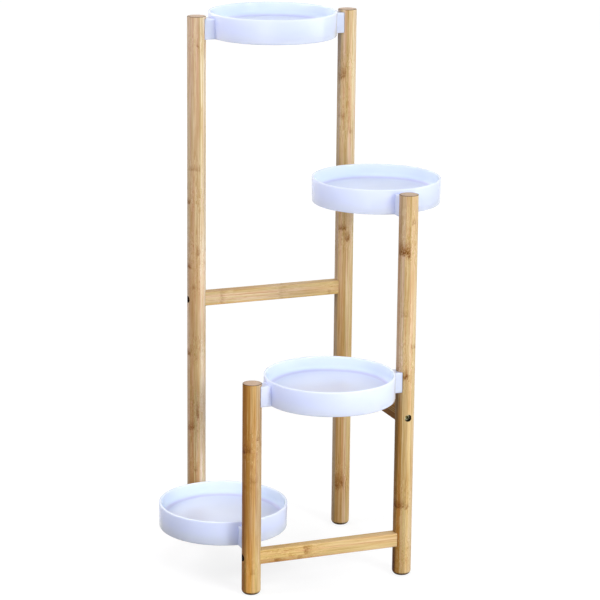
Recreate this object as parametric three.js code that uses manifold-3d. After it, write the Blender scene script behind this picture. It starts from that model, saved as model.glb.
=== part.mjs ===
// Tiered plant stand. Four round bamboo posts of three heights stand at the corners of a square, and
// four round moulded trays climb round them as a spiral stair: each tray hangs between two neighbouring
// posts by the lugs on its wall. Three bamboo rails, bolted through the posts, tie the square together.
// Millimetres, +Z up. The origin is on the floor, in the middle of the square.

import * as THREE from 'three';
import { mergeVertices } from 'three/addons/utils/BufferGeometryUtils.js';
import Module from 'manifold-3d';

const wasm = await Module();
wasm.setup();

// Clearance kept between two pieces that touch on the real stand.
const gap = 0.3;

// Posts
const postDiameter = 24;
const tallPostHeight = 700;
const mediumPostHeight = 498;
const shortPostHeight = 275;
const footRadius = 6;
const postTopEase = 0.7;

// Trays
const trayDiameter = 165;
const trayHeight = 31.5;
const trayDepth = 17.5;
const trayWall = 3.2;
const trayOuterDraft = 0.6;
const trayInnerDraft = 0.9;
const trayCove = 7;
const trayFloorThickness = 2.6;
const traySkirtWall = 2.6;
const trayBaseEase = 0.8;
const rimAbovePost = 2;
const bottomTrayRim = 89;
const trayToPost = 8.5;

// Stiffening gussets in the corner between a tray's skirt and the underside of its floor
const gussetCount = 12;
const gussetThickness = 1.6;
const gussetLength = 9;
const gussetHeight = 7;

// Lugs on the trays and the notches that they seat in
const lugWidth = 19;
const lugDrop = 5.5;
const lugWall = 2.4;
const lugWeb = 1.8;
const lugCorner = 1.2;
const lugTopEase = 0.8;
const notchDepth = 4.6;

// Rails
const railHeight = 18;
const railThickness = 14;
const railEase = 1.2;
const railEndEase = 0.5;
const railSeatDepth = 2.4;
const backRailCentre = 332;
const rightRailCentre = 211.5;
const frontRailCentre = 48.5;

// Bolts and barrel nuts
const boltDiameter = 5;
const boltLength = 40;
const boltTipChamfer = 0.8;
const headDiameter = 8.4;
const headHeight = 5;
const headChamfer = 0.5;
const headRecess = 4.6;
const socketAcrossFlats = 4;
const socketDepth = 2.6;
const nutDiameter = 8;
const nutLength = 12;
const nutChamfer = 0.5;
const nutSlotWidth = 1.4;
const nutSlotDepth = 1.2;
const boltBeyondNut = 1.2;
const boltHoleSpare = 1.5;

// Faces round each turned form
const postFaces = 30;
const trayFaces = 48;
const fastenerFaces = 16;

// Straight steps that stand for each curve of a profile and for each rounded corner
const curveSteps = 4;
const cornerSteps = 2;

// Worked out from the sizes above
const postRadius = postDiameter / 2;
const trayRadius = trayDiameter / 2;
const postSpacing = trayDiameter + postDiameter + 2 * trayToPost;
const notchPlane = postRadius - notchDepth;
const seatPlane = postRadius - railSeatDepth;
const lugHeight = trayHeight - lugDrop;
const lugReach = postSpacing / 2 - notchPlane - gap;
const railLength = postSpacing - 2 * (seatPlane + gap);
const boltHoleDiameter = boltDiameter + 2 * gap;
const counterboreDiameter = headDiameter + 2 * gap;
const headSeat = postRadius - headRecess - headHeight;
const boltInRail = boltLength - headSeat - seatPlane - gap;
const nutSetback = boltInRail - boltBeyondNut - nutDiameter / 2;

// The posts by name, anticlockwise from the tall one at the back on the left.
const corner = postSpacing / 2;
const posts = {
  tall_left: { x: -corner, y: corner, height: tallPostHeight },
  tall_right: { x: corner, y: corner, height: tallPostHeight },
  medium_right: { x: corner, y: -corner, height: mediumPostHeight },
  short_left: { x: -corner, y: -corner, height: shortPostHeight },
};

// The trays from the top down, each between two posts.
const trays = [
  { name: 'tray_top', between: ['tall_left', 'tall_right'], rim: tallPostHeight + rimAbovePost },
  { name: 'tray_upper', between: ['tall_right', 'medium_right'], rim: mediumPostHeight + rimAbovePost },
  { name: 'tray_lower', between: ['short_left', 'medium_right'], rim: shortPostHeight + rimAbovePost },
  { name: 'tray_bottom', between: ['tall_left', 'short_left'], rim: bottomTrayRim },
];

// The rails from the top down, each between two posts.
const rails = [
  { name: 'back', between: ['tall_left', 'tall_right'], centre: backRailCentre },
  { name: 'right', between: ['medium_right', 'tall_right'], centre: rightRailCentre },
  { name: 'front', between: ['short_left', 'medium_right'], centre: frontRailCentre },
];

const bamboo = new THREE.Color(0.80, 0.63, 0.42);
const whitePlastic = new THREE.Color(0.90, 0.91, 0.97);
const zinc = new THREE.Color(0.62, 0.62, 0.60);

function woodFinish() {
  return new THREE.MeshStandardMaterial({ color: bamboo, roughness: 0.5, metalness: 0 });
}

function plasticFinish() {
  return new THREE.MeshStandardMaterial({ color: whitePlastic, roughness: 0.18, metalness: 0 });
}

function steelFinish() {
  return new THREE.MeshStandardMaterial({ color: zinc, roughness: 0.35, metalness: 1 });
}

// A closed solid from a three.js geometry: shared corners are merged and flat slivers left out.
function solid(geometry) {
  const bare = geometry.clone();
  bare.deleteAttribute('normal');
  bare.deleteAttribute('uv');
  const merged = mergeVertices(bare);
  const index = merged.index.array;
  const triangles = [];
  for (let i = 0; i < index.length; i += 3) {
    const [a, b, c] = [index[i], index[i + 1], index[i + 2]];
    if (a !== b && b !== c && c !== a) {
      triangles.push(a, b, c);
    }
  }
  return new wasm.Manifold(new wasm.Mesh({
    numProp: 3,
    vertProperties: new Float32Array(merged.attributes.position.array),
    triVerts: new Uint32Array(triangles),
  }));
}

// A three.js geometry from a solid.
function geometryOf(body) {
  const mesh = body.getMesh();
  const geometry = new THREE.BufferGeometry();
  geometry.setAttribute('position', new THREE.BufferAttribute(mesh.vertProperties, 3));
  geometry.setIndex(new THREE.BufferAttribute(mesh.triVerts, 1));
  geometry.computeVertexNormals();
  return geometry;
}

function joined(base, parts) {
  return parts.reduce((body, part) => body.add(solid(part)), solid(base));
}

function cut(body, tools) {
  return tools.reduce((left, tool) => left.subtract(solid(tool)), body);
}

// A body turned about +Z from a profile of [radius, height] points that starts and ends on the axis.
function turned(profile, faces) {
  const points = profile.map(([radius, height]) => new THREE.Vector2(radius, height));
  return new THREE.LatheGeometry(points, faces).rotateX(Math.PI / 2);
}

// A box from its lowest and highest corner.
function block(low, high) {
  const size = high.map((value, axis) => value - low[axis]);
  const middle = high.map((value, axis) => (value + low[axis]) / 2);
  return new THREE.BoxGeometry(...size).translate(...middle);
}

// A round rod or hole along +X, from one x to another.
function rodAlongX(diameter, from, to, faces = fastenerFaces) {
  const rod = new THREE.CylinderGeometry(diameter / 2, diameter / 2, to - from, faces);
  return rod.rotateZ(Math.PI / 2).translate((from + to) / 2, 0, 0);
}

// Points along an arc, from one angle to another in degrees.
function arc(centreX, centreY, radius, from, to, steps) {
  const points = [];
  for (let step = 0; step <= steps; step += 1) {
    const angle = THREE.MathUtils.degToRad(from + (to - from) * step / steps);
    points.push([centreX + radius * Math.cos(angle), centreY + radius * Math.sin(angle)]);
  }
  return points;
}

// The heading in radians from one post to another.
function heading(fromPost, toPost) {
  return Math.atan2(toPost.y - fromPost.y, toPost.x - fromPost.x);
}

// The other post of a pair, or nothing where the pair leaves this post out.
function neighbour(pair, name) {
  if (!pair.includes(name)) {
    return undefined;
  }
  return posts[pair.find((other) => other !== name)];
}

// The rod that a post is cut from: a flat top with its edge eased, and a well rounded foot.
function postBlank(height) {
  return turned([
    [0, 0],
    ...arc(postRadius - footRadius, footRadius, footRadius, -90, 0, curveSteps),
    [postRadius, height - postTopEase],
    [postRadius - postTopEase, height],
    [0, height],
  ], postFaces);
}

// The notch for a tray's lug, cut straight across the side of a post that faces +X.
function lugNotch(trayBase) {
  const low = [notchPlane, -postDiameter, trayBase - gap];
  const high = [postDiameter, postDiameter, trayBase + lugHeight + gap];
  return block(low, high);
}

// The flat that a rail's end butts on, just wide enough to carry the whole end, with the bolt's hole and its
// counterbore behind it.
function railJoint(centre) {
  const rise = railHeight / 2 + gap;
  const flat = block([seatPlane, -postDiameter, centre - rise], [postDiameter, postDiameter, centre + rise]);
  const hole = rodAlongX(boltHoleDiameter, -postDiameter, postDiameter).translate(0, 0, centre);
  const counterbore = rodAlongX(counterboreDiameter, -postDiameter, gap - headSeat).translate(0, 0, centre);
  return [flat, hole, counterbore];
}

// A post, notched for its trays and drilled for its rails.
function postGeometry(name) {
  const post = posts[name];
  const tools = [];
  for (const tray of trays) {
    const other = neighbour(tray.between, name);
    if (other) {
      tools.push(lugNotch(tray.rim - trayHeight).rotateZ(heading(post, other)));
    }
  }
  for (const rail of rails) {
    const other = neighbour(rail.between, name);
    if (other) {
      tools.push(...railJoint(rail.centre).map((tool) => tool.rotateZ(heading(post, other))));
    }
  }
  return geometryOf(cut(solid(postBlank(post.height)), tools));
}

// The turned shell of a tray, base at z = 0: a skirt, a drafted wall with a full round lip,
// and a floor that a cove joins to the wall.
function trayShell() {
  const lip = trayWall / 2;
  const floorTop = trayHeight - trayDepth;
  const floorUnder = floorTop - trayFloorThickness;
  const innerWallFoot = trayRadius - trayWall - trayInnerDraft;
  const baseRadius = trayRadius - trayOuterDraft;
  const skirtInside = baseRadius - traySkirtWall;
  return turned([
    [0, floorUnder],
    [skirtInside - traySkirtWall / 2, floorUnder],
    [skirtInside, floorUnder - traySkirtWall / 2],
    [skirtInside, 0],
    [baseRadius - trayBaseEase, 0],
    [baseRadius, trayBaseEase],
    ...arc(trayRadius - lip, trayHeight - lip, lip, 0, 180, curveSteps),
    ...arc(innerWallFoot - trayCove, floorTop + trayCove, trayCove, 0, -90, curveSteps),
    [0, floorTop],
  ], trayFaces);
}

// A lug: a block with its outer corners rounded and its top edge eased, running out along +X.
function lugBlock() {
  const root = trayRadius - trayWall;
  const plan = new THREE.Shape();
  plan.moveTo(root, -lugWidth / 2);
  plan.lineTo(lugReach - lugCorner, -lugWidth / 2);
  plan.quadraticCurveTo(lugReach, -lugWidth / 2, lugReach, lugCorner - lugWidth / 2);
  plan.lineTo(lugReach, lugWidth / 2 - lugCorner);
  plan.quadraticCurveTo(lugReach, lugWidth / 2, lugReach - lugCorner, lugWidth / 2);
  plan.lineTo(root, lugWidth / 2);
  return new THREE.ExtrudeGeometry(plan, {
    depth: lugHeight - 2 * lugTopEase,
    curveSegments: cornerSteps,
    bevelThickness: lugTopEase,
    bevelSize: lugTopEase,
    bevelOffset: -lugTopEase,
    bevelSegments: 1,
  }).translate(0, 0, lugTopEase);
}

// The two pockets that open a lug from below and leave its walls and a web in the middle.
function lugPockets() {
  const inner = trayRadius + lugWall / 2;
  const outer = lugReach - lugWall;
  const ceiling = lugHeight - lugWall;
  const side = lugWidth / 2 - lugWall;
  const web = lugWeb / 2;
  return [
    block([inner, web, -trayHeight], [outer, side, ceiling]),
    block([inner, -side, -trayHeight], [outer, -web, ceiling]),
  ];
}

// One gusset, a triangle between the skirt and the underside of the floor, pointing along +X.
function gusset() {
  const root = trayRadius - trayOuterDraft - traySkirtWall / 2;
  const floorUnder = trayHeight - trayDepth - trayFloorThickness;
  const ceiling = floorUnder + trayFloorThickness / 2;
  const side = new THREE.Shape();
  side.moveTo(root, floorUnder - gussetHeight);
  side.lineTo(root, ceiling);
  side.lineTo(root - traySkirtWall / 2 - gussetLength, ceiling);
  side.lineTo(root - traySkirtWall / 2 - gussetLength, floorUnder);
  side.lineTo(root - traySkirtWall / 2, floorUnder - gussetHeight);
  const plate = new THREE.ExtrudeGeometry(side, { depth: gussetThickness, bevelEnabled: false });
  return plate.rotateX(Math.PI / 2).translate(0, gussetThickness / 2, 0);
}

// A tray with its lugs along local X. The gussets stand half a step off the lugs.
function trayGeometry() {
  const added = [lugBlock(), lugBlock().rotateZ(Math.PI)];
  for (let step = 0; step < gussetCount; step += 1) {
    added.push(gusset().rotateZ((step + 0.5) * 2 * Math.PI / gussetCount));
  }
  const pockets = [...lugPockets(), ...lugPockets().map((pocket) => pocket.rotateZ(Math.PI))];
  return geometryOf(cut(joined(trayShell(), added), pockets));
}

// The bar that a rail is cut from, along X and centred: a rectangle with its long edges rounded
// and its ends eased.
function railBlank() {
  const halfThickness = railThickness / 2 - railEndEase;
  const halfHeight = railHeight / 2 - railEndEase;
  const section = new THREE.Shape();
  section.moveTo(-halfThickness, railEase - halfHeight);
  section.quadraticCurveTo(-halfThickness, -halfHeight, railEase - halfThickness, -halfHeight);
  section.lineTo(halfThickness - railEase, -halfHeight);
  section.quadraticCurveTo(halfThickness, -halfHeight, halfThickness, railEase - halfHeight);
  section.lineTo(halfThickness, halfHeight - railEase);
  section.quadraticCurveTo(halfThickness, halfHeight, halfThickness - railEase, halfHeight);
  section.lineTo(railEase - halfThickness, halfHeight);
  section.quadraticCurveTo(-halfThickness, halfHeight, -halfThickness, halfHeight - railEase);
  const bar = new THREE.ExtrudeGeometry(section, {
    depth: railLength - 2 * railEndEase,
    curveSegments: cornerSteps,
    bevelThickness: railEndEase,
    bevelSize: railEndEase,
    bevelSegments: 1,
  }).translate(0, 0, railEndEase - railLength / 2);
  return bar.rotateX(Math.PI / 2).rotateZ(Math.PI / 2);
}

// The bolt's hole in a rail's end at +X, and the blind hole for its barrel nut from the underside.
function railEndHoles() {
  const end = railLength / 2;
  const boltHole = rodAlongX(boltHoleDiameter, end - boltInRail - boltHoleSpare, end + railThickness);
  const nutRadius = nutDiameter / 2 + gap;
  const rise = nutLength / 2 + gap;
  const depth = rise + railHeight;
  const nutHole = new THREE.CylinderGeometry(nutRadius, nutRadius, depth, fastenerFaces);
  nutHole.rotateX(Math.PI / 2).translate(end - nutSetback, 0, rise - depth / 2);
  return [boltHole, nutHole];
}

function railGeometry() {
  const farEnd = railEndHoles().map((tool) => tool.rotateZ(Math.PI));
  return geometryOf(cut(solid(railBlank()), [...railEndHoles(), ...farEnd]));
}

// A socket cap bolt along +Z: the head's seat is at z = 0 and the shank runs up from it.
function boltBody() {
  const headRadius = headDiameter / 2;
  const shank = boltDiameter / 2;
  return turned([
    [0, -headHeight],
    [headRadius - headChamfer, -headHeight],
    [headRadius, headChamfer - headHeight],
    [headRadius, 0],
    [shank, 0],
    [shank, boltLength - boltTipChamfer],
    [shank - boltTipChamfer, boltLength],
    [0, boltLength],
  ], fastenerFaces);
}

// The finished bolt, turned to run along +X, with its hexagon socket.
function boltGeometry() {
  const cornerRadius = socketAcrossFlats / Math.sqrt(3);
  const socket = new THREE.CylinderGeometry(cornerRadius, cornerRadius, 2 * socketDepth, 6);
  socket.rotateX(Math.PI / 2).translate(0, 0, -headHeight);
  return geometryOf(cut(solid(boltBody()), [socket])).rotateY(Math.PI / 2);
}

// A barrel nut along Z, cross-drilled for the bolt, with a screwdriver slot in its lower end.
function nutGeometry() {
  const radius = nutDiameter / 2;
  const rise = nutLength / 2;
  const barrel = turned([
    [0, -rise],
    [radius - nutChamfer, -rise],
    [radius, nutChamfer - rise],
    [radius, rise - nutChamfer],
    [radius - nutChamfer, rise],
    [0, rise],
  ], fastenerFaces);
  const hole = rodAlongX(boltHoleDiameter, -nutDiameter, nutDiameter);
  const slotHalf = nutSlotWidth / 2;
  const slot = block([-nutDiameter, -slotHalf, -nutLength], [nutDiameter, slotHalf, nutSlotDepth - rise]);
  return geometryOf(cut(solid(barrel), [hole, slot]));
}

function named(name, geometry, material) {
  const mesh = new THREE.Mesh(geometry, material);
  mesh.name = name;
  return mesh;
}

function addPosts(stand) {
  for (const [name, post] of Object.entries(posts)) {
    const mesh = named(`post_${name}`, postGeometry(name), woodFinish());
    mesh.position.set(post.x, post.y, 0);
    stand.add(mesh);
  }
}

function addTrays(stand) {
  for (const tray of trays) {
    const [first, second] = tray.between.map((name) => posts[name]);
    const mesh = named(tray.name, trayGeometry(), plasticFinish());
    mesh.position.set((first.x + second.x) / 2, (first.y + second.y) / 2, tray.rim - trayHeight);
    mesh.rotation.z = heading(first, second);
    stand.add(mesh);
  }
}

// A bolt and its nut at the rail's end at local +X, as a group that the rail's group turns round.
function railFastening(label) {
  const end = new THREE.Group();
  const bolt = named(`bolt_${label}`, boltGeometry(), steelFinish());
  bolt.position.x = -(postSpacing / 2 + headSeat);
  const nut = named(`barrel_nut_${label}`, nutGeometry(), steelFinish());
  nut.position.x = nutSetback - railLength / 2;
  end.add(bolt, nut);
  return end;
}

function addRails(stand) {
  for (const rail of rails) {
    const [first, second] = rail.between.map((name) => posts[name]);
    const group = new THREE.Group();
    group.position.set((first.x + second.x) / 2, (first.y + second.y) / 2, rail.centre);
    group.rotation.z = heading(first, second);
    group.add(named(`rail_${rail.name}`, railGeometry(), woodFinish()));
    rail.between.forEach((name, turn) => {
      const fastening = railFastening(`${rail.name}_${name}`);
      fastening.rotation.z = turn * Math.PI;
      group.add(fastening);
    });
    stand.add(group);
  }
}

const stand = new THREE.Group();
addPosts(stand);
addTrays(stand);
addRails(stand);

export default stand;
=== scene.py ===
"""The looks of the tiered plant stand: bamboo posts and rails, moulded trays, zinc-plated bolts and nuts.

Every piece replaces its CAD node and keeps its size and place. Sizes are in millimetres until a mesh is
made.
"""

import math

import bmesh
import bpy
from mathutils import Matrix, Vector


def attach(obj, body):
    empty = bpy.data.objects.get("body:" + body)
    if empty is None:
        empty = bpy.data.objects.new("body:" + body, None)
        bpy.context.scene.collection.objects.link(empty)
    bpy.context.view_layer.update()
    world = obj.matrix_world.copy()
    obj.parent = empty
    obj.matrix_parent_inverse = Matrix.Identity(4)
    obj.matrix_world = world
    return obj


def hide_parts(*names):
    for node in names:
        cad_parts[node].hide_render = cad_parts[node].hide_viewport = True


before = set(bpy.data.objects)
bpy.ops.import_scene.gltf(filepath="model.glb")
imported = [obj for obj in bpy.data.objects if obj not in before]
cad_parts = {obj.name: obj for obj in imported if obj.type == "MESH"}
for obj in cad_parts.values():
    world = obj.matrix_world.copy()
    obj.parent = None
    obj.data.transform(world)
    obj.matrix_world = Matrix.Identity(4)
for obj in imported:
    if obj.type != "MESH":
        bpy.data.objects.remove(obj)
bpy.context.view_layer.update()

MM = 0.001
GAP = 0.3  # clearance between parts
SPARE = 10  # how far blanks and cutting tools reach past the shape

# Posts
POST_RADIUS = 12
FOOT_RADIUS = 6
POST_TOP_EASE = 0.7
CUT_EASE = 0.25
POST_FACES = 96
NOTCH_PLANE = 7.4
POST_SPACING = 206
CORNER = POST_SPACING / 2
POSTS = {
    "tall_left": (-CORNER, CORNER, 700),
    "tall_right": (CORNER, CORNER, 700),
    "medium_right": (CORNER, -CORNER, 498),
    "short_left": (-CORNER, -CORNER, 275),
}

# Trays
TRAY_RADIUS = 82.5
TRAY_HEIGHT = 31.5
TRAY_FLOOR_TOP = 14
TRAY_FLOOR_UNDER = 11.4
TRAY_WALL = 3.2
TRAY_OUTER_DRAFT = 0.6
TRAY_INNER_DRAFT = 0.9
TRAY_COVE = 7
TRAY_COVE_FOOT = TRAY_RADIUS - TRAY_WALL - TRAY_INNER_DRAFT - TRAY_COVE
TRAY_SKIRT = 2.6
TRAY_SKIRT_EASE = 0.8
TRAY_UNDER_COVE = 1.3
TRAY_FACES = 180
FLOOR_UNDER_RINGS = (20, 45, 62)
FLOOR_TOP_RINGS = (60, 40, 20)
WALL_RINGS = ((0.2, 10), (0.4, 20))  # (how far outside the wall's foot, height)
LUG_WIDTH = 19
LUG_HEIGHT = 26
LUG_ROOT = TRAY_RADIUS - TRAY_WALL + 0.6
LUG_REACH = 95.3
LUG_WALL = 2.4
LUG_WEB = 1.8
LUG_EASE = 0.9
POCKET_EASE = 0.5
GUSSETS = 12
GUSSET_REACH = 10.3
GUSSET_DROP = 7
GUSSET_THICKNESS = 1.6
GATE_RADIUS = 2
GATE_DEPTH = 0.5
PINS = 6
PIN_CIRCLE = 46
PIN_RADIUS = 3
PIN_DEPTH = 0.15
TRAYS = {
    "tray_top": ("tall_left", "tall_right", 702),
    "tray_upper": ("tall_right", "medium_right", 500),
    "tray_lower": ("short_left", "medium_right", 277),
    "tray_bottom": ("tall_left", "short_left", 89),
}

# Rails
RAIL_HEIGHT = 18
RAIL_THICKNESS = 14
RAIL_EASE = 1.2
RAIL_END_EASE = 0.5
RAIL_SEAT = 9.6
RAIL_LENGTH = POST_SPACING - 2 * (RAIL_SEAT + GAP)
RAIL_PRESS = 0.28  # the bolts draw each rail's ends onto their seats
RAILS = {
    "back": ("tall_left", "tall_right", 332),
    "right": ("medium_right", "tall_right", 211.5),
    "front": ("short_left", "medium_right", 48.5),
}

# Bolts and barrel nuts
BOLT_RADIUS = 2.5
BOLT_LENGTH = 40
BOLT_SHANK = 8
SHANK_RADIUS = BOLT_RADIUS - 0.1
THREAD_PITCH = 0.8
THREAD_ROOT = BOLT_RADIUS - 0.45
THREAD_CREST = BOLT_RADIUS - 0.02
HEAD_RADIUS = 4.2
HEAD_HEIGHT = 5
HEAD_EASE = 0.5
HEAD_SEAT = 2.4
SOCKET_CORNER = 4 / math.sqrt(3)
SOCKET_DEPTH = 2.6
BOLT_HOLE_RADIUS = 2.8
COUNTERBORE_RADIUS = 4.5
NUT_RADIUS = 4
NUT_LENGTH = 12
NUT_SETBACK = 22.5
NUT_SLOT_WIDTH = 1.4
NUT_SLOT_DEPTH = 1.2
BOLT_IN_RAIL = BOLT_LENGTH - HEAD_SEAT - RAIL_SEAT - GAP
BOLT_TIP_ROOM = 1.5

# The photograph's camera, found by fitting the stand's edges to it: degrees, pixels and metres
CAMERA_YAW = 21.753
CAMERA_PITCH = 14.615
CAMERA_ROLL = 0.59
CAMERA_PLACE = (-1.20827, -3.02869, 1.19665)
FOCAL_PIXELS = 2647.473
IMAGE_PIXELS = 600
SENSOR_WIDTH = 36


# ---------------------------------------------------------------- meshes


def arc(centre, radius, start, end, steps):
    """Points along an arc, from one angle to another in degrees."""
    points = []
    for step in range(steps + 1):
        angle = math.radians(start + (end - start) * step / steps)
        points.append((centre[0] + radius * math.cos(angle), centre[1] + radius * math.sin(angle)))
    return points


def mesh_object(name, build):
    """A new object in the scene from a bmesh."""
    bmesh.ops.recalc_face_normals(build, faces=build.faces)
    mesh = bpy.data.meshes.new(name)
    build.to_mesh(mesh)
    build.free()
    made = bpy.data.objects.new(name, mesh)
    bpy.context.scene.collection.objects.link(made)
    return made


def turned(name, profile, faces):
    """A closed body turned about Z from (radius, height) points that start and end on the axis."""
    build = bmesh.new()
    rings = []
    for radius, height in profile:
        if radius < 1e-6:
            rings.append([build.verts.new((0, 0, height * MM))])
            continue
        ring = []
        for step in range(faces):
            angle = 2 * math.pi * step / faces
            x = radius * MM * math.cos(angle)
            y = radius * MM * math.sin(angle)
            ring.append(build.verts.new((x, y, height * MM)))
        rings.append(ring)
    for low, high in zip(rings, rings[1:]):
        for i in range(faces):
            j = (i + 1) % faces
            if len(low) == 1:
                build.faces.new((low[0], high[j], high[i]))
            elif len(high) == 1:
                build.faces.new((low[i], low[j], high[0]))
            else:
                build.faces.new((low[i], low[j], high[j], high[i]))
    return mesh_object(name, build)


def block(name, low, high, ease=0, segments=3):
    """A box from its lowest and highest corner, with its edges rounded."""
    build = bmesh.new()
    bmesh.ops.create_cube(build, size=1)
    for vertex in build.verts:
        for axis in range(3):
            vertex.co[axis] = (high[axis] if vertex.co[axis] > 0 else low[axis]) * MM
    if ease:
        edges = build.edges[:]
        bmesh.ops.bevel(build, geom=edges, offset=ease * MM, segments=segments, profile=0.5, affect="EDGES")
    return mesh_object(name, build)


def rod_along_x(radius, start, end, faces=48):
    """A plain rod along X, from one place on it to another."""
    rod = turned("rod", [(0, start), (radius, start), (radius, end), (0, end)], faces)
    rod.data.transform(Matrix.Rotation(math.pi / 2, 4, "Y"))
    return rod


def settle(body):
    """Applies an object's modifiers to its mesh."""
    seen = body.evaluated_get(bpy.context.evaluated_depsgraph_get())
    body.data = bpy.data.meshes.new_from_object(seen)
    body.modifiers.clear()


def shaped(body, tools, operation="DIFFERENCE"):
    """The body after each tool is taken from it or added to it."""
    for tool in tools:
        modifier = body.modifiers.new("shape", "BOOLEAN")
        modifier.operation = operation
        modifier.solver = "EXACT"
        modifier.object = tool
    settle(body)
    for tool in tools:
        bpy.data.objects.remove(tool)
    return body


def softened(body, width, angle, segments=2):
    """Rounds the edges that are sharper than an angle in degrees."""
    modifier = body.modifiers.new("ease", "BEVEL")
    modifier.width = width * MM
    modifier.segments = segments
    modifier.limit_method = "ANGLE"
    modifier.angle_limit = math.radians(angle)
    modifier.use_clamp_overlap = True
    settle(body)


def cleaned(body):
    """Merges doubled points and takes out faces without area."""
    build = bmesh.new()
    build.from_mesh(body.data)
    bmesh.ops.remove_doubles(build, verts=build.verts, dist=1e-6)
    bmesh.ops.dissolve_degenerate(build, edges=build.edges, dist=1e-7)
    build.to_mesh(body.data)
    build.free()


def finished(body, name, node, material, place, smooth_angle=32):
    """Puts a piece in its place, with its finish, as the stand-in for its CAD node."""
    body.name = name
    body.data.name = name
    body.data.transform(place)
    body.data.shade_smooth()
    body.data.set_sharp_from_angle(angle=math.radians(smooth_angle))
    body.data.materials.clear()
    body.data.materials.append(material)
    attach(body, "root")
    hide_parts(node)


def moved(x, y, z):
    """A shift in millimetres, as a matrix."""
    return Matrix.Translation((x * MM, y * MM, z * MM))


def turned_z(angle):
    """A turn about Z in radians, as a matrix."""
    return Matrix.Rotation(angle, 4, "Z")


def heading(from_post, to_post):
    """The angle in plan of the way from one post to another."""
    ax, ay, _ = POSTS[from_post]
    bx, by, _ = POSTS[to_post]
    return math.atan2(by - ay, bx - ax)


def middle(first, second):
    """The place in plan halfway between two posts."""
    ax, ay, _ = POSTS[first]
    bx, by, _ = POSTS[second]
    return (ax + bx) / 2, (ay + by) / 2


# ---------------------------------------------------------------- node trees


def linear(red, green, blue):
    """A colour for a shader from its 0 to 255 values."""
    shares = [value / 255 for value in (red, green, blue)]
    tones = [share / 12.92 if share <= 0.04 else ((share + 0.055) / 1.055) ** 2.4 for share in shares]
    return (*tones, 1)


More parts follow.
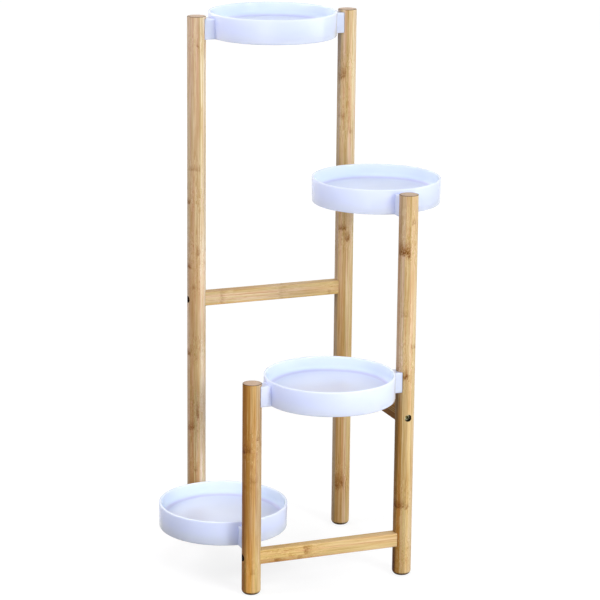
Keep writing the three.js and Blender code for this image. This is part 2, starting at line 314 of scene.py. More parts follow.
class Graph:
    """The node tree of a material or of the world, built by short calls."""

    def __init__(self, owner, output):
        owner.use_nodes = True
        self.owner = owner
        self.tree = owner.node_tree
        self.tree.nodes.clear()
        self.output = self.node(output)

    def node(self, kind, **settings):
        made = self.tree.nodes.new("ShaderNode" + kind)
        for key, value in settings.items():
            setattr(made, key, value)
        return made

    def feed(self, socket, value):
        """Links another node's output to a socket, or sets the socket to a constant."""
        if isinstance(value, bpy.types.NodeSocket):
            self.tree.links.new(value, socket)
        else:
            socket.default_value = value

    def show(self, shader):
        self.feed(self.output.inputs["Surface"], shader)

    def math(self, operation, first, second=0.0):
        made = self.node("Math", operation=operation)
        self.feed(made.inputs[0], first)
        self.feed(made.inputs[1], second)
        return made.outputs[0]

    def product(self, first, *others):
        for other in others:
            first = self.math("MULTIPLY", first, other)
        return first

    def vector(self, operation, first, second=(0, 0, 0)):
        made = self.node("VectorMath", operation=operation)
        self.feed(made.inputs[0], first)
        self.feed(made.inputs[1], second)
        return made.outputs["Value"] if operation == "LENGTH" else made.outputs[0]

    def parts(self, vector):
        made = self.node("SeparateXYZ")
        self.feed(made.inputs[0], vector)
        return made.outputs

    def combined(self, x, y):
        made = self.node("CombineXYZ")
        self.feed(made.inputs[0], x)
        self.feed(made.inputs[1], y)
        return made.outputs[0]

    def turn(self, vector, rotation):
        made = self.node("VectorRotate", rotation_type="EULER_XYZ")
        self.feed(made.inputs["Vector"], vector)
        self.feed(made.inputs["Rotation"], rotation)
        return made.outputs[0]

    def local(self, origin, rotation=(0, 0, 0)):
        """Object coordinates in millimetres from an origin, turned."""
        coordinates = self.node("TexCoord").outputs["Object"]
        shifted = self.vector("SUBTRACT", coordinates, tuple(value * MM for value in origin))
        return self.vector("MULTIPLY", self.turn(shifted, rotation), (1 / MM, 1 / MM, 1 / MM))

    def stretched(self, vector, scale, offset=(0, 0, 0)):
        return self.vector("ADD", self.vector("MULTIPLY", vector, scale), offset)

    def noise(self, vector, scale, offset=(0, 0, 0), detail=2.0, roughness=0.5):
        """Noise with a grain of its own along each axis."""
        made = self.node("TexNoise")
        self.feed(made.inputs["Vector"], self.stretched(vector, scale, offset))
        self.feed(made.inputs["Scale"], 1.0)
        self.feed(made.inputs["Detail"], detail)
        self.feed(made.inputs["Roughness"], roughness)
        return made.outputs["Fac"]

    def step(self, value, low, high, out_low=0.0, out_high=1.0):
        """A smooth step, from one output at low to the other at high."""
        made = self.node("MapRange", interpolation_type="SMOOTHSTEP")
        self.feed(made.inputs["Value"], value)
        self.feed(made.inputs["From Min"], low)
        self.feed(made.inputs["From Max"], high)
        self.feed(made.inputs["To Min"], out_low)
        self.feed(made.inputs["To Max"], out_high)
        return made.outputs["Result"]

    def mix(self, blend, factor, first, second):
        made = self.node("Mix", data_type="RGBA", blend_type=blend)
        self.feed(made.inputs["Factor"], factor)
        self.feed(made.inputs[6], first)
        self.feed(made.inputs[7], second)
        return made.outputs[2]

    def ramp(self, value, stops):
        """Colours along a value. stops are (place, colour in 0 to 255 values)."""
        made = self.node("ValToRGB")
        elements = made.color_ramp.elements
        for element, (at, tone) in zip(elements, (stops[0], stops[-1])):
            element.position = at
            element.color = linear(*tone)
        for at, tone in stops[1:-1]:
            elements.new(at).color = linear(*tone)
        self.feed(made.inputs[0], value)
        return made.outputs["Color"]

    def shader(self, kind, **constants):
        made = self.node(kind)
        for key, value in constants.items():
            self.feed(made.inputs[key], value)
        return made.outputs[0]

    def choice(self, factor, first, second):
        made = self.node("MixShader")
        self.feed(made.inputs[0], factor)
        self.feed(made.inputs[1], first)
        self.feed(made.inputs[2], second)
        return made.outputs[0]

    def surface(self, color, roughness, height, bump_strength, bump_distance, **constants):
        """The finish, with its bump in millimetres. Numbers that hold all over are set on the sockets."""
        principled = self.node("BsdfPrincipled")
        self.feed(principled.inputs["Base Color"], color)
        self.feed(principled.inputs["Roughness"], roughness)
        for key, value in constants.items():
            socket = key.replace("_", " ").title().replace("Ior", "IOR")
            self.feed(principled.inputs[socket], value)
        bump = self.node("Bump")
        self.feed(bump.inputs["Strength"], bump_strength)
        self.feed(bump.inputs["Distance"], bump_distance * MM)
        self.feed(bump.inputs["Height"], height)
        self.feed(principled.inputs["Normal"], bump.outputs[0])
        self.show(principled.outputs[0])


def new_material(name):
    return Graph(bpy.data.materials.new(name), "OutputMaterial")


# ---------------------------------------------------------------- bamboo

# Tones that multiply the cane's own, or stand in for it
NODE_AND_SHADE_CLOUD = (176, 134, 78)
NODE_AND_SHADE_CORE = (192, 154, 96)
NODE_AND_SHADE_DOTS = (196, 158, 100)
# The bolt holes' walls: rough grain, darkened further with painted shade
BORE_GRAIN_AND_SHADE = (78, 54, 32)
END_GRAIN = (196, 173, 154)
END_PORES = (186, 152, 122)
# Painted shade on the posts' rounded edges: the feet's contact shadow, and a dark line round the tops
EDGE_SHADE_TONE = (62, 48, 25)
SLOW_TONE = (247, 239, 226)
BROAD_STREAKS = (226, 209, 180)
LIGHT_STREAKS = (255, 236, 200)
FINE_LINES = (224, 204, 172)
DASHES = (200, 164, 112)
BUNDLE_HUES = [
    (0.34, (254, 236, 230)), (0.45, (255, 249, 242)), (0.54, (255, 252, 234)), (0.66, (240, 237, 208)),
]

STRIP_BLEND = 0.5  # half the width over which one strip passes into the next


def strip_colors(g, place, strips, half_width, column):
    """Strips of cane side by side, each with a tone of its own, taken from a column of strips."""
    share = g.math("ADD", g.product(place, 0.5 / half_width), 0.5)
    stops = [(0.0, strips[0][column])]
    for strip, following in zip(strips, strips[1:]):
        for shift, tone in ((-STRIP_BLEND, strip[column]), (STRIP_BLEND, following[column])):
            stops.append(((strip[0] + shift + half_width) / (2 * half_width), tone))
    stops.append((1.0, strips[-1][column]))
    return g.ramp(share, stops)


def nearness(g, along, marks):
    """How near the closest mark is, nodes of the cane and patches of painted shade alike, from 0 to the
    mark's strength.
    """
    near = 0.0
    for at, _, _, height, strength in marks:
        distance = g.math("ABSOLUTE", g.math("SUBTRACT", along, at + height))
        near = g.math("MAXIMUM", near, g.step(distance, 5 * min(height, 8), 0, 0, strength))
    return near


def rolled(g, here, near, seed):
    """The place that the fibres' pattern is read from: near a node the fibres roll to the side."""
    roll = g.noise(here, (0.22, 0.22, 0.10), (0, seed, 0))
    sideways = g.product(g.math("SUBTRACT", roll, 0.5), near, 9.0)
    return g.vector("ADD", here, g.combined(sideways, sideways))


def fibres(g, color, fibre, seed):
    """Bundles of fibres with hues of their own, broad soft streaks, fine dark lines and short dashes."""
    hues = g.ramp(g.noise(fibre, (0.5, 0.5, 0.005), (seed, 0, 0)), BUNDLE_HUES)
    color = g.mix("MULTIPLY", 1.0, color, hues)
    slow = g.noise(fibre, (0.14, 0.08, 0.012), (0, seed, 0))
    color = g.mix("MULTIPLY", g.step(slow, 0.42, 0.66), color, linear(*SLOW_TONE))
    broad = g.noise(fibre, (0.75, 0.75, 0.012), (seed, seed, 0), roughness=0.6)
    color = g.mix("MULTIPLY", g.step(broad, 0.47, 0.68, 0.0, 0.8), color, linear(*BROAD_STREAKS))
    color = g.mix("SCREEN", g.step(broad, 0.46, 0.30, 0.0, 0.14), color, linear(*LIGHT_STREAKS))
    fine = g.noise(fibre, (2.2, 2.2, 0.03), (0, seed, seed), roughness=0.55)
    color = g.mix("MULTIPLY", g.step(fine, 0.5, 0.7, 0.0, 0.6), color, linear(*FINE_LINES))
    dashes = g.noise(fibre, (2.4, 2.4, 0.09), (seed, 0, seed), detail=1.0)
    color = g.mix("MULTIPLY", g.step(dashes, 0.66, 0.76, 0.0, 0.55), color, linear(*DASHES))
    grain = g.math("ADD", g.product(fine, 0.5), g.product(broad, 0.5))
    return color, grain


def node_and_shade_mark(g, color, place, along, warp, speckle, mark):
    """Darkens one mark, a cane node or a patch of painted shade: a brown cloud across a strip, firm below
    and soft above, mottled.
    """
    at, low, high, height, strength = mark
    inside = g.product(g.step(place, low - 1.2, low + 1.2), g.step(place, high + 1.2, high - 1.2))
    lift = g.math("ADD", g.math("SUBTRACT", along, at), g.product(warp, 1.2 * height))
    below = g.step(lift, -0.45 * height, 0.05 * height)
    above = g.step(lift, 1.7 * height, 0.1 * height)
    cloud = g.product(inside, below, above, g.step(speckle, 0.34, 0.6, 0.45, 1.0), strength)
    color = g.mix("MULTIPLY", cloud, color, linear(*NODE_AND_SHADE_CLOUD))
    core = g.product(g.step(lift, -0.4 * height, 0.0), g.step(lift, 0.55 * height, 0.1 * height))
    dark = g.product(inside, core, g.step(speckle, 0.44, 0.6), 0.6 * strength)
    return g.mix("MULTIPLY", dark, color, linear(*NODE_AND_SHADE_CORE))


def nodes_and_shade_marks(g, color, here, fibre, place, along, near, marks, seed):
    """All the marks of one piece, nodes of the cane and patches of painted shade, with dots among the
    fibres around them.
    """
    speckle = g.noise(here, (0.7, 0.7, 0.45), (seed, seed, seed), 3.0, 0.65)
    warp = g.math("SUBTRACT", g.noise(here, (0.3, 0.3, 0.02), (0, 0, seed)), 0.5)
    for mark in marks:
        color = node_and_shade_mark(g, color, place, along, warp, speckle, mark)
    dots = g.noise(fibre, (1.5, 1.5, 0.5), (0, seed, seed), detail=1.0)
    dotted = g.product(g.step(dots, 0.58, 0.72), near, 0.5)
    return g.mix("MULTIPLY", dotted, color, linear(*NODE_AND_SHADE_DOTS))


def end_grain(g, color, here, rotation, edge_shade):
    """Greyer, dotted end grain. The last argument sets the painted shade on the rounding around it: the
    feet's contact shadow, and a dark line round the tops.
    """
    normal = g.turn(g.node("NewGeometry").outputs["Normal"], rotation)
    slope = g.math("ABSOLUTE", g.parts(normal)[2])
    end = g.step(slope, 0.45, 0.9)
    color = g.mix("MIX", g.product(end, 0.8), color, linear(*END_GRAIN))
    pores = g.node("TexVoronoi")
    g.feed(pores.inputs["Vector"], g.stretched(here, (1.5, 1.5, 0.2)))
    g.feed(pores.inputs["Scale"], 1.0)
    pitted = g.product(end, g.step(pores.outputs["Distance"], 0.36, 0.2), 0.5)
    color = g.mix("MULTIPLY", pitted, color, linear(*END_PORES))
    rounding = g.product(g.step(slope, 0.2, 0.5), g.step(slope, 0.999, 0.985), edge_shade)
    return g.mix("MULTIPLY", rounding, color, linear(*EDGE_SHADE_TONE))


def bore_shade(g, color, origin, bores):
    """Darkens the walls of the bolt holes: their rough grain, with painted shade. bores are (heading,
    height) of each axis.
    """
    here = g.local(origin)
    for angle, height in bores:
        level = g.vector("SUBTRACT", here, (0, 0, height))
        from_axis = g.vector("MULTIPLY", g.turn(level, (0, 0, -angle)), (0, 1, 1))
        reach = g.vector("LENGTH", from_axis)
        hole = g.step(reach, COUNTERBORE_RADIUS + 0.12, COUNTERBORE_RADIUS + 0.02)
        color = g.mix("MULTIPLY", hole, color, linear(*BORE_GRAIN_AND_SHADE))
    return color


def bamboo(name, origin, rotation, strips, span, marks, seed, half_width, bores=(), edge_shade=0.0):
    """Laminated bamboo. In the local frame X runs across the strips and Z along the fibres.

    strips are (upper limit across, tone at the start, tone at the end), and span holds the places along the
    fibres between which the one tone passes into the other. Both are partly painted shade and painted light
    over the cane's own tones. marks are the nodes of the cane, and patches of painted shade, each (place
    along, low edge across, high edge across, height, strength).
    """
    g = new_material(name)
    here = g.local(origin, rotation)
    across, _, along = g.parts(here)
    drift = g.noise(here, (0.02, 0.02, 0.011), (seed, 0, 0), detail=1.0)
    place = g.math("ADD", across, g.product(g.math("SUBTRACT", drift, 0.5), 0.6))
    lower = strip_colors(g, place, strips, half_width, 1)
    upper = strip_colors(g, place, strips, half_width, 2)
    color = g.mix("MIX", g.step(along, *span), lower, upper)
    near = nearness(g, along, marks)
    fibre = rolled(g, here, near, seed)
    color, grain = fibres(g, color, fibre, seed)
    color = nodes_and_shade_marks(g, color, here, fibre, place, along, near, marks, seed)
    color = end_grain(g, color, here, rotation, edge_shade)
    color = bore_shade(g, color, origin, bores)

    # Satin lacquer: the fibres telegraph through it.
    roughness = g.step(grain, 0.3, 0.7, 0.42, 0.56)
    g.surface(color, roughness, grain, 0.3, 0.1, specular_ior_level=0.1)
    return g.owner


# ---------------------------------------------------------------- plastic and zinc

PLASTIC_TONES = ((206, 214, 251), (209, 217, 252))
# Painted light on the inner side of a tray's wall
INNER_WALL_LIGHT = (215, 228, 251)
# Painted shade in the cove at the foot of the inner wall
COVE_SHADE = (232, 224, 230)
ZINC_TONES = ((146, 145, 112), (206, 204, 168))
# Painted shade in the bolts' sockets
SOCKET_SHADE = (136, 128, 100)


def plastic(name, origin, seed):
    """White gloss polypropylene with a lavender cast. Some light passes through its thin walls."""
    g = new_material(name)
    here = g.local(origin)
    cloud = g.noise(here, (0.012, 0.012, 0.03), (seed, 0, 0))
    deep, pale = PLASTIC_TONES
    color = g.mix("MIX", g.step(cloud, 0.3, 0.7), linear(*deep), linear(*pale))

    # The inner side of the wall is painted lighter and bluer, as painted light, and painted shade darkens
    # the cove a little.
    x, y, height = g.parts(here)
    radius = g.vector("LENGTH", g.combined(x, y))
    foot = TRAY_COVE_FOOT
    inward = g.step(radius, TRAY_RADIUS - 1.1, TRAY_RADIUS - 1.9)
    wall = g.product(g.step(radius, foot + 3.1, foot + 5.6), inward)
    wall = g.product(wall, g.step(height, TRAY_FLOOR_TOP + 0.5, TRAY_FLOOR_TOP + 4))
    color = g.mix("MIX", wall, color, linear(*INNER_WALL_LIGHT))
    cove = g.product(g.step(radius, foot - 0.9, foot + 1.6), g.step(radius, foot + 5.1, foot + 3.1))
    cove = g.product(cove, g.step(height, TRAY_FLOOR_TOP - 0.8, TRAY_FLOOR_TOP - 0.2), 0.6)
    color = g.mix("MULTIPLY", cove, color, linear(*COVE_SHADE))

    ripple = g.noise(here, (0.05, 0.05, 0.05), (0, seed, 0))
    peel = g.noise(here, (0.9, 0.9, 0.9))
    scuffs = g.noise(here, (0.5, 0.05, 0.5), (0, 0, seed), 4.0, 0.7)
    roughness = g.math("ADD", g.step(ripple, 0.3, 0.7, 0.15, 0.21), g.step(scuffs, 0.6, 0.75, 0.0, 0.09))
    relief = g.math("ADD", peel, g.product(ripple, 3.0))
    g.surface(
        color, roughness, relief, 0.25, 0.04,
        specular_ior_level=0.12, coat_weight=0.18, coat_roughness=0.04,
        subsurface_weight=0.8, subsurface_radius=(1.0, 1.0, 1.1), subsurface_scale=8 * MM,
    )
    return g.owner


def zinc(name):
    """Zinc plate: a bright metal, mottled, with fine turning marks. Painted shade darkens the bolts'
    sockets.
    """
    g = new_material(name)
    here = g.local((0, 0, 0))
    mottle = g.noise(here, (0.9, 0.9, 0.9), detail=4.0, roughness=0.6)
    dull, bright = ZINC_TONES
    color = g.mix("MIX", g.step(mottle, 0.35, 0.7), linear(*dull), linear(*bright))
    recess = g.node("Attribute", attribute_name="recess").outputs["Fac"]
    color = g.mix("MULTIPLY", recess, color, linear(*SOCKET_SHADE))
    roughness = g.math("ADD", g.step(mottle, 0.3, 0.7, 0.22, 0.34), g.product(recess, 0.25))
    marks = g.noise(here, (6.0, 6.0, 6.0))
    g.surface(color, roughness, marks, 0.3, 0.03, metallic=1.0)
    return g.owner


# ---------------------------------------------------------------- posts


def meeting(table, post):
    """The rows of TRAYS or RAILS that meet a post, each as (heading from the post, height)."""
    found = []
    for first, second, height in table.values():
        if post in (first, second):
            found.append((heading(post, second if post == first else first), height))
    return found


def notch_tool(angle, rim):
    """What a tray's lug needs cut from a post."""
    base = rim - TRAY_HEIGHT
    wide = 2 * POST_RADIUS
    notch = block("notch", (NOTCH_PLANE, -wide, base - GAP), (wide, wide, base + LUG_HEIGHT + GAP))
    notch.data.transform(turned_z(angle))
    return notch


def rail_tools(angle, centre):
    """What a rail's end and its bolt need cut from a post: seat, bolt hole and counterbore."""
    rise = RAIL_HEIGHT / 2 + GAP
    wide = 2 * POST_RADIUS
    tools = [
        block("seat", (RAIL_SEAT, -wide, -rise), (wide, wide, rise)),
        rod_along_x(BOLT_HOLE_RADIUS, -wide, wide),
        rod_along_x(COUNTERBORE_RADIUS, -wide, GAP - HEAD_SEAT),
    ]
    for tool in tools:
        tool.data.transform(turned_z(angle) @ moved(0, 0, centre))
    return tools


def post_body(name):
    """A post with its notches, rail seats, bolt holes and counterbores, its axis on Z."""
    _, _, height = POSTS[name]
    profile = [(0, 0)]
    profile += arc((POST_RADIUS - FOOT_RADIUS, FOOT_RADIUS), FOOT_RADIUS, -90, 0, 10)
    profile += arc((POST_RADIUS - POST_TOP_EASE, height - POST_TOP_EASE), POST_TOP_EASE, 0, 90, 4)
    profile += [(0, height)]
    body = turned(name, profile, POST_FACES)
    tools = [notch_tool(angle, rim) for angle, rim in meeting(TRAYS, name)]
    for angle, centre in meeting(RAILS, name):
        tools += rail_tools(angle, centre)
    shaped(body, tools)
    softened(body, CUT_EASE, 40)
    cleaned(body)
    return body


def add_posts(finishes):
    for name, (x, y, _) in POSTS.items():
        label = "bamboo_post_" + name
        finished(post_body(name), label, "post_" + name, finishes[name], moved(x, y, 0))


# ---------------------------------------------------------------- trays


def tray_shell():
    """The turned shell of a tray: skirt, drafted wall with a full round lip, cove and floor."""
    lip = TRAY_WALL / 2
    base = TRAY_RADIUS - TRAY_OUTER_DRAFT
    inside = base - TRAY_SKIRT
    under = TRAY_FLOOR_UNDER
    gate = under - GATE_DEPTH
    profile = [(0, gate), (0.8 * GATE_RADIUS, gate), (GATE_RADIUS, under)]
    profile += [(ring, under) for ring in FLOOR_UNDER_RINGS]
    profile += arc((inside - TRAY_UNDER_COVE, under - TRAY_UNDER_COVE), TRAY_UNDER_COVE, 90, 0, 4)
    profile += [(inside, 0.5), (inside + 0.4, 0)]
    profile += arc((base - TRAY_SKIRT_EASE, TRAY_SKIRT_EASE), TRAY_SKIRT_EASE, -90, 0, 4)
    profile += [(base + outward, height) for outward, height in WALL_RINGS]
    profile += arc((TRAY_RADIUS - lip, TRAY_HEIGHT - lip), lip, 0, 180, 12)
    profile += arc((TRAY_COVE_FOOT, TRAY_FLOOR_TOP + TRAY_COVE), TRAY_COVE, 0, -90, 10)
    profile += [(ring, TRAY_FLOOR_TOP) for ring in FLOOR_TOP_RINGS]
    profile += [(0, TRAY_FLOOR_TOP)]
    return turned("tray", profile, TRAY_FACES)


def lug():
    """A lug along +X with rounded corners, its root in the wall and its foot level with the tray's."""
    low = (LUG_ROOT - SPARE, -LUG_WIDTH / 2, -SPARE)
    body = block("lug", low, (LUG_REACH, LUG_WIDTH / 2, LUG_HEIGHT), LUG_EASE, 4)
    far = (LUG_ROOT - 2 * SPARE, -LUG_WIDTH, -2 * SPARE)
    trim = [
        block("trim", far, (LUG_REACH + SPARE, LUG_WIDTH, 0)),
        block("trim", far, (LUG_ROOT, LUG_WIDTH, LUG_HEIGHT + SPARE)),
    ]
    return shaped(body, trim)


def lug_pockets():
    """The two hollows of a lug, open below, with a web between them."""
    inner = TRAY_RADIUS + LUG_WALL / 2
    outer = LUG_REACH - LUG_WALL
    side = LUG_WIDTH / 2 - LUG_WALL
    ceiling = LUG_HEIGHT - LUG_WALL
    return [
        block("pocket", (inner, LUG_WEB / 2, -SPARE), (outer, side, ceiling), POCKET_EASE, 2),
        block("pocket", (inner, -side, -SPARE), (outer, -LUG_WEB / 2, ceiling), POCKET_EASE, 2),
    ]


def gusset():
    """A triangular stiffener under the floor, its edges buried in the floor and the skirt."""
    bury = TRAY_SKIRT / 2
    root = TRAY_RADIUS - TRAY_OUTER_DRAFT - bury
    outline = [
        (root, TRAY_FLOOR_UNDER - GUSSET_DROP),
        (root, TRAY_FLOOR_UNDER + bury),
        (root - GUSSET_REACH, TRAY_FLOOR_UNDER + bury),
        (root - GUSSET_REACH, TRAY_FLOOR_UNDER),
        (root - bury, TRAY_FLOOR_UNDER - GUSSET_DROP),
    ]
    build = bmesh.new()
    sides = []
    for y in (-GUSSET_THICKNESS / 2, GUSSET_THICKNESS / 2):
        sides.append([build.verts.new((x * MM, y * MM, z * MM)) for x, z in outline])
    build.faces.new(sides[0])
    build.faces.new(list(reversed(sides[1])))
    for i in range(len(outline)):
        j = (i + 1) % len(outline)
        build.faces.new((sides[0][j], sides[0][i], sides[1][i], sides[1][j]))
    return mesh_object("gusset", build)


def pin_mark():
    """The shallow round witness of an ejector pin under the floor."""
    profile = [(0, -SPARE), (PIN_RADIUS, -SPARE), (PIN_RADIUS, PIN_DEPTH), (0, PIN_DEPTH)]
    mark = turned("pin", profile, 32)
    mark.data.transform(moved(PIN_CIRCLE, 0, TRAY_FLOOR_UNDER))
    return mark


def at_angle(body, angle):
    body.data.transform(turned_z(angle))
    return body


def tray_body():
    """A tray around Z, its lugs along X, standing on the floor."""
    body = tray_shell()
    added = [at_angle(lug(), angle) for angle in (0, math.pi)]
    added += [at_angle(gusset(), (step + 0.5) * 2 * math.pi / GUSSETS) for step in range(GUSSETS)]
    shaped(body, added, "UNION")
    hollows = [at_angle(pocket, angle) for angle in (0, math.pi) for pocket in lug_pockets()]
    hollows += [at_angle(pin_mark(), step * 2 * math.pi / PINS) for step in range(PINS)]
    shaped(body, hollows)
    cleaned(body)
    return body


def add_trays():
    pattern = tray_body()
    for number, (name, (first, second, rim)) in enumerate(TRAYS.items()):
        body = pattern.copy()
        body.data = pattern.data.copy()
        bpy.context.scene.collection.objects.link(body)
        x, y = middle(first, second)
        base = rim - TRAY_HEIGHT
        finish = plastic("plastic_" + name, (x, y, base), 3.1 * number)
        place = moved(x, y, base) @ turned_z(heading(first, second))
        finished(body, "moulded_" + name, name, finish, place)
    bpy.data.objects.remove(pattern)


# ---------------------------------------------------------------- rails, bolts and nuts


def rail_bar():
    """A bar along X with rounded long edges and eased ends."""
    outline = []
    for y, z, start in ((1, 1, 0), (-1, 1, 90), (-1, -1, 180), (1, -1, 270)):
        centre = (y * (RAIL_THICKNESS / 2 - RAIL_EASE), z * (RAIL_HEIGHT / 2 - RAIL_EASE))
        outline += arc(centre, RAIL_EASE, start, start + 90, 5)
    half = RAIL_LENGTH / 2 + RAIL_PRESS
    ease = RAIL_END_EASE
    slices = [(-half, ease), (-half + ease * 0.3, ease * 0.3), (-half + ease, 0)]
    slices += [(-x, inset) for x, inset in reversed(slices)]
    build = bmesh.new()
    rings = []
    for x, inset in slices:
        narrow = 1 - inset / (RAIL_THICKNESS / 2)
        lower = 1 - inset / (RAIL_HEIGHT / 2)
        ring = []
        for y, z in outline:
            ring.append(build.verts.new((x * MM, y * narrow * MM, z * lower * MM)))
        rings.append(ring)
    build.faces.new(list(reversed(rings[0])))
    build.faces.new(rings[-1])
    for near, far in zip(rings, rings[1:]):
        for i in range(len(outline)):
            j = (i + 1) % len(outline)
            build.faces.new((near[i], near[j], far[j], far[i]))
    return mesh_object("rail", build)


def rail_body():
    """A rail along X with holes for its bolts, and for its barrel nuts from below."""
    end = RAIL_LENGTH / 2
    wide = NUT_RADIUS + GAP
    below = -RAIL_HEIGHT / 2 - SPARE
    ceiling = NUT_LENGTH / 2 + GAP
    tools = []
    for angle in (0, math.pi):
        hole = rod_along_x(BOLT_HOLE_RADIUS, end - BOLT_IN_RAIL - BOLT_TIP_ROOM, end + SPARE)
        nut = turned("nut", [(0, below), (wide, below), (wide, ceiling), (0, ceiling)], 48)
        nut.data.transform(moved(end - NUT_SETBACK, 0, 0))
        tools += [at_angle(hole, angle), at_angle(nut, angle)]
    body = shaped(rail_bar(), tools)
    cleaned(body)
    return body


def mark_socket(body):
    """Marks the faces of a bolt's socket in the face attribute that the zinc's painted shade follows."""
    recess = body.data.attributes.new("recess", "FLOAT", "FACE")
    for face in body.data.polygons:
        points = [body.data.vertices[index].co for index in face.vertices]
        reach = max(math.hypot(point.y, point.z) for point in points)
        in_head = max(point.x for point in points) < -MM
        recess.data[face.index].value = float(in_head and reach < (SOCKET_CORNER + 0.05) * MM)


def bolt_body():
    """A socket cap bolt, its shank along +X from the head's seat at x = 0."""
    edge = HEAD_RADIUS - HEAD_EASE
    profile = [(0, -HEAD_HEIGHT), (edge, -HEAD_HEIGHT)]
    profile += arc((edge, HEAD_EASE - HEAD_HEIGHT), HEAD_EASE, -60, 0, 3)
    profile += [(HEAD_RADIUS, -0.2), (HEAD_RADIUS - 0.2, 0), (SHANK_RADIUS, 0), (SHANK_RADIUS, BOLT_SHANK)]
    turns = round((BOLT_LENGTH - BOLT_SHANK) / THREAD_PITCH) - 2
    for turn in range(turns):
        at = BOLT_SHANK + 0.2 + turn * THREAD_PITCH
        profile += [(THREAD_ROOT, at), (THREAD_CREST, at + 0.35), (THREAD_CREST, at + 0.45)]
    profile += [(THREAD_ROOT, BOLT_LENGTH - 0.8), (BOLT_RADIUS - 0.8, BOLT_LENGTH), (0, BOLT_LENGTH)]
    body = turned("bolt", profile, 40)
    bottom = SOCKET_DEPTH - HEAD_HEIGHT
    above = -HEAD_HEIGHT - SPARE
    outline = [(0, above), (SOCKET_CORNER, above), (SOCKET_CORNER, bottom), (0, bottom + 0.8)]
    shaped(body, [turned("socket", outline, 6)])
    body.data.transform(Matrix.Rotation(math.pi / 2, 4, "Y"))
    cleaned(body)
    mark_socket(body)
    return body


def nut_body():
    """A barrel nut along Z, cross-drilled, with a screwdriver slot in its lower end."""
    rise = NUT_LENGTH / 2
    edge = [(NUT_RADIUS, rise - 0.6), (NUT_RADIUS - 0.1, rise - 0.3), (NUT_RADIUS - 0.5, rise)]
    profile = [(0, -rise)]
    profile += [(radius, -height) for radius, height in reversed(edge)]
    profile += edge
    profile += [(0, rise)]
    body = turned("nut", profile, 48)
    reach = NUT_RADIUS + SPARE
    hole = rod_along_x(BOLT_HOLE_RADIUS, -reach, reach, 40)
    low = (-reach, -NUT_SLOT_WIDTH / 2, -rise - SPARE)
    slot = block("slot", low, (reach, NUT_SLOT_WIDTH / 2, NUT_SLOT_DEPTH - rise))
    shaped(body, [hole, slot])
    cleaned(body)
    return body


def add_rails(finishes, steel):
    """Each rail, with the bolt and the barrel nut at both its ends."""
    for name, (first, second, centre) in RAILS.items():
        x, y = middle(first, second)
        place = moved(x, y, centre) @ turned_z(heading(first, second))
        label = "bamboo_rail_" + name
        finished(rail_body(), label, "rail_" + name, finishes[name], place)
        for post, turn in ((first, 0), (second, math.pi)):
            where = name + "_" + post
            end = place @ turned_z(turn)
            at_bolt = end @ moved(-(POST_SPACING / 2 + HEAD_SEAT), 0, 0)
            finished(bolt_body(), "steel_bolt_" + where, "bolt_" + where, steel, at_bolt)
            at_nut = end @ moved(NUT_SETBACK - RAIL_LENGTH / 2, 0, 0)
            finished(nut_body(), "steel_nut_" + where, "barrel_nut_" + where, steel, at_nut)


# ---------------------------------------------------------------- the bamboo of each piece

# Tones of the strips
UMBER = (142, 98, 42)
BROWN = (168, 128, 68)
TAN = (184, 149, 104)
HONEY = (196, 161, 112)
OLIVE = (192, 169, 128)
WHEAT = (214, 185, 132)
STRAW = (213, 189, 148)
BLUSH = (196, 173, 149)
ASH = (190, 170, 150)
BUFF = (212, 191, 161)
CREAM = (219, 204, 182)
PEARL = (228, 216, 199)
DUSK = (176, 153, 130)
MOSS = (141, 109, 62)
OCHRE = (210, 162, 92)
RUST = (152, 106, 50)
MIST = (198, 184, 170)

# The angle that turns world X across a post's strips, so that their joints face the front
ACROSS = math.radians(21.75)

# Strips: (upper limit across, tone at the start of the fibres, tone at their end)
# The darker, more saturated strips on each post's left and the paler ones on its right are partly painted
# shade and painted light.
POST_STRIPS_AND_SHADING = {
    "tall_left": [
        (-8.5, ASH, MIST), (-3, TAN, ASH), (1.8, OLIVE, BLUSH), (5.0, STRAW, BLUSH), (12, PEARL, PEARL),
    ],
    "tall_right": [
        (-8.0, ASH, MIST), (-2, HONEY, BUFF), (2.7, HONEY, OLIVE), (7, BUFF, BUFF), (12, STRAW, CREAM),
    ],
    "medium_right": [
        (-8.5, MOSS, DUSK), (-3.5, BROWN, ASH), (3.7, OLIVE, OLIVE), (7, STRAW, BUFF), (12, BUFF, BUFF),
    ],
    "short_left": [
        (-8.5, UMBER, UMBER), (-6.2, BROWN, RUST), (-2.0, OCHRE, BROWN), (0.7, OCHRE, TAN),
        (5.2, WHEAT, HONEY), (12, STRAW, BLUSH),
    ],
}
# medium_right's darker lower tones, below the lower tray, are painted shade; short_left's lighter tones at
# its foot are painted light.
POST_SPANS = {
    "tall_left": (80, 620),
    "tall_right": (80, 620),
    "medium_right": (190, 300),
    "short_left": (20, 110),
}
# How strongly painted shade darkens the posts' rounded edges
POST_EDGE_SHADE = 0.92

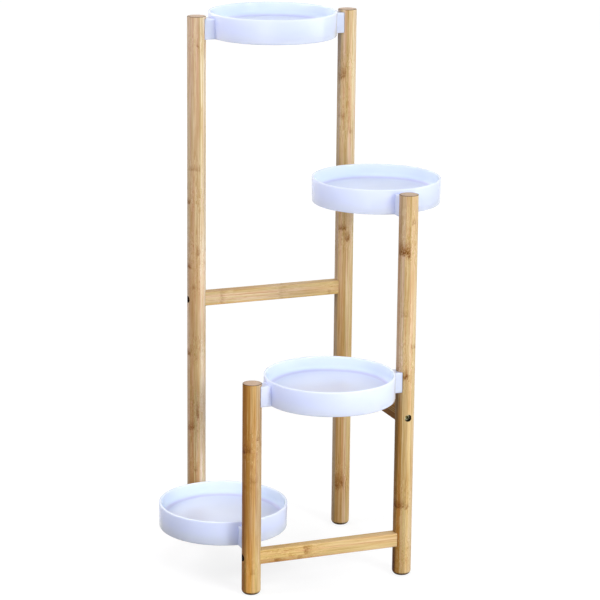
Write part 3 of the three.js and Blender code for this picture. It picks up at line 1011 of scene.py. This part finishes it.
# Nodes of the cane, and patches of painted shade: (place along, low edge across, high edge across, height,
# strength)
POST_MARKS = {
    "tall_left": [
        (393, 0.6, 4.6, 9, 0.6), (375, -12, -7.2, 5, 0.9), (348, -5, -1, 6, 0.5), (662, 0.6, 4.0, 4, 0.5),
        (504, -10, 6, 5, 0.35), (460, -12, -7.5, 6, 0.8), (259, -12, -7.5, 6, 0.9),
        (176, 0.6, 3.4, 15, 0.9), (158, -11, -2, 8, 0.7), (101, -3, 2, 6, 0.4),
    ],
    "tall_right": [
        (411, -8, 2.6, 6, 0.7), (398, 1.0, 7, 8, 0.8), (56, -8, 4, 15, 0.7), (612, -10, -1, 12, 0.7),
        (560, -10, -2, 9, 0.4), (540, 4, 9, 6, 0.4),
    ],
    "medium_right": [
        (424, -11, 3.0, 12, 1.0), (265, -4, 3.0, 8, 0.9), (463, 4, 9, 6, 0.4), (303, 6, 12, 5, 0.5),
        # The two marks at 10 and 6 along, on the left edge, are painted shade at the foot, not nodes of the
        # cane.
        (93, -12, 2, 8, 0.7), (92, 3, 7, 6, 0.7), (345, -7, 2, 6, 0.3), (10, -15, -9, 30, 1.0),
        (6, -15, -10, 22, 1.0),
    ],
    "short_left": [
        (187, -12, -8, 6, 0.9), (188, -7, -1, 9, 0.6), (204, 6, 9, 4, 0.7), (30, -1, 5, 6, 0.3),
        (150, -2, 8, 7, 0.3),
    ],
}
RAIL_STRIPS_AND_SHADE = {
    "back": [(-6.5, WHEAT, WHEAT), (9, BUFF, STRAW)],
    # The right rail's dark umber and brown tones are painted shade.
    "right": [(0, UMBER, UMBER), (9, BROWN, BROWN)],
    "front": [(-3.6, HONEY, STRAW), (1.5, WHEAT, STRAW), (9, WHEAT, STRAW)],
}
RAIL_SPANS = {
    "back": (0, 80),
    "right": (-80, 80),
    "front": (-60, 30),
}
RAIL_MARKS = {
    "back": [(-72, -9, 9, 5, 0.3), (10, -9, 9, 7, 0.18), (78, -9, -2, 4, 0.4)],
    "right": [(20, -9, 9, 5, 0.7)],
    "front": [(-34, -3, 8, 7, 0.65), (-72, -9, -3.6, 8, 0.7), (-43, -9, -3.6, 5, 0.4)],
}


def post_finishes():
    """Each post's bamboo, its strips turned to face the front."""
    made = {}
    for number, (name, (x, y, _)) in enumerate(POSTS.items()):
        made[name] = bamboo(
            "bamboo_" + name, (x, y, 0), (0, 0, ACROSS), POST_STRIPS_AND_SHADING[name], POST_SPANS[name],
            POST_MARKS[name], 7.3 + 11.7 * number, POST_RADIUS, meeting(RAILS, name), POST_EDGE_SHADE,
        )
    return made


def rail_finishes():
    """Each rail's bamboo. The fibres run along the rail and its strips lie flat, one above another."""
    made = {}
    onto = Matrix(((0, 0, 1), (0, -1, 0), (1, 0, 0)))
    for number, (name, (first, second, centre)) in enumerate(RAILS.items()):
        x, y = middle(first, second)
        unturn = Matrix.Rotation(-heading(first, second), 3, "Z")
        rotation = tuple((onto @ unturn).to_euler("XYZ"))
        made[name] = bamboo(
            "bamboo_rail_" + name, (x, y, centre), rotation, RAIL_STRIPS_AND_SHADE[name], RAIL_SPANS[name],
            RAIL_MARKS[name], 61.9 + 9.1 * number, RAIL_HEIGHT / 2,
        )
    return made


# ---------------------------------------------------------------- floor, light and camera


def showing_rays(g):
    """1 for the rays that see the white surroundings: the camera's own, mirrored and passed through."""
    rays = g.node("LightPath")
    seen = g.math("MAXIMUM", rays.outputs["Is Camera Ray"], rays.outputs["Is Glossy Ray"])
    return g.math("MAXIMUM", seen, rays.outputs["Is Transmission Ray"])


def add_floor():
    """A white floor that takes the stand's shadow and throws little light back at it."""
    g = new_material("floor_white")
    plain = g.shader("BsdfDiffuse", Color=(0.10, 0.10, 0.10, 1))
    dim = g.shader("BsdfDiffuse", Color=(0.24, 0.24, 0.24, 1))
    distance = g.vector("LENGTH", g.node("TexCoord").outputs["Object"])
    glow = g.shader("Emission", Color=(1, 1, 1, 1), Strength=g.step(distance, 0.6, 3.2, 0.80, 1.0))
    both = g.node("AddShader")
    g.feed(both.inputs[0], dim)
    g.feed(both.inputs[1], glow)
    g.show(g.choice(showing_rays(g), plain, both.outputs[0]))
    build = bmesh.new()
    bmesh.ops.create_circle(build, cap_ends=True, segments=96, radius=14)
    floor = mesh_object("floor", build)
    if floor.data.polygons[0].normal.z < 0:
        floor.data.flip_normals()
    floor.data.materials.append(g.owner)


def add_world():
    """White surroundings that light the stand only dimly."""
    world = bpy.data.worlds.new("studio")
    bpy.context.scene.world = world
    g = Graph(world, "OutputWorld")
    ambient = g.shader("Background", Color=(1.0, 0.98, 1.0, 1), Strength=0.08)
    white = g.shader("Background", Color=(1, 1, 1, 1), Strength=1.0)
    g.show(g.choice(showing_rays(g), ambient, white))


def add_lamp(name, around, above, distance, size, power, color, aim_height=0.35):
    """A round soft lamp aimed at the stand. around is its angle from the camera's side toward the right."""
    turn = math.radians(around - 90 - CAMERA_YAW)
    rise = math.radians(above)
    way = Vector((math.cos(turn) * math.cos(rise), math.sin(turn) * math.cos(rise), math.sin(rise)))
    lamp = bpy.data.lights.new(name, "AREA")
    lamp.shape = "DISK"
    lamp.size = size
    lamp.energy = power
    lamp.color = color
    made = bpy.data.objects.new(name, lamp)
    made.location = Vector((0, 0, aim_height)) + way * distance
    made.rotation_euler = (-way).to_track_quat("-Z", "Y").to_euler()
    bpy.context.scene.collection.objects.link(made)


def add_lamps():
    add_lamp("key", 43, 20, 2.8, 0.9, 40, (0.98, 1.0, 0.98))
    add_lamp("right_fill", 88, 4, 2.4, 1.6, 22, (0.96, 1.0, 1.0))
    add_lamp("high_front", 0, 50, 2.8, 1.8, 12, (1.0, 1.0, 1.0))
    add_lamp("top", 0, 82, 1.5, 1.0, 5.5, (0.98, 0.98, 1.0))
    add_lamp("back_left", -140, 40, 2.8, 1.8, 24, (1.0, 1.0, 1.0))
    add_lamp("back_right", 140, 40, 2.8, 1.8, 12, (1.0, 1.0, 1.0))
    add_lamp("near_left", -72, 28, 1.3, 0.7, 8.2, (1.0, 0.97, 1.0))
    add_lamp("near_front", -12, 4, 1.6, 0.9, 7.5, (0.97, 0.97, 1.0))
    add_lamp("low_front", 28, 8, 1.0, 0.4, 2.8, (1.0, 0.98, 0.98), 0.04)


def add_camera():
    yaw = math.radians(CAMERA_YAW)
    pitch = math.radians(CAMERA_PITCH)
    roll = math.radians(CAMERA_ROLL)
    ahead = Vector((math.sin(yaw) * math.cos(pitch), math.cos(yaw) * math.cos(pitch), -math.sin(pitch)))
    level = Vector((math.cos(yaw), -math.sin(yaw), 0))
    upward = level.cross(ahead)
    right = level * math.cos(roll) + upward * math.sin(roll)
    above = upward * math.cos(roll) - level * math.sin(roll)
    lens = bpy.data.cameras.new("camera")
    lens.sensor_width = SENSOR_WIDTH
    lens.lens = FOCAL_PIXELS * SENSOR_WIDTH / IMAGE_PIXELS
    lens.clip_start = 0.1
    lens.clip_end = 60
    made = bpy.data.objects.new("camera", lens)
    turn = Matrix((right, above, -ahead)).transposed().to_4x4()
    made.matrix_world = Matrix.Translation(CAMERA_PLACE) @ turn
    bpy.context.scene.collection.objects.link(made)
    bpy.context.scene.camera = made


add_posts(post_finishes())
add_trays()
add_rails(rail_finishes(), zinc("zinc_plate"))
add_floor()
add_world()
add_lamps()
add_camera()

bpy.context.scene.view_settings.view_transform = "Standard"

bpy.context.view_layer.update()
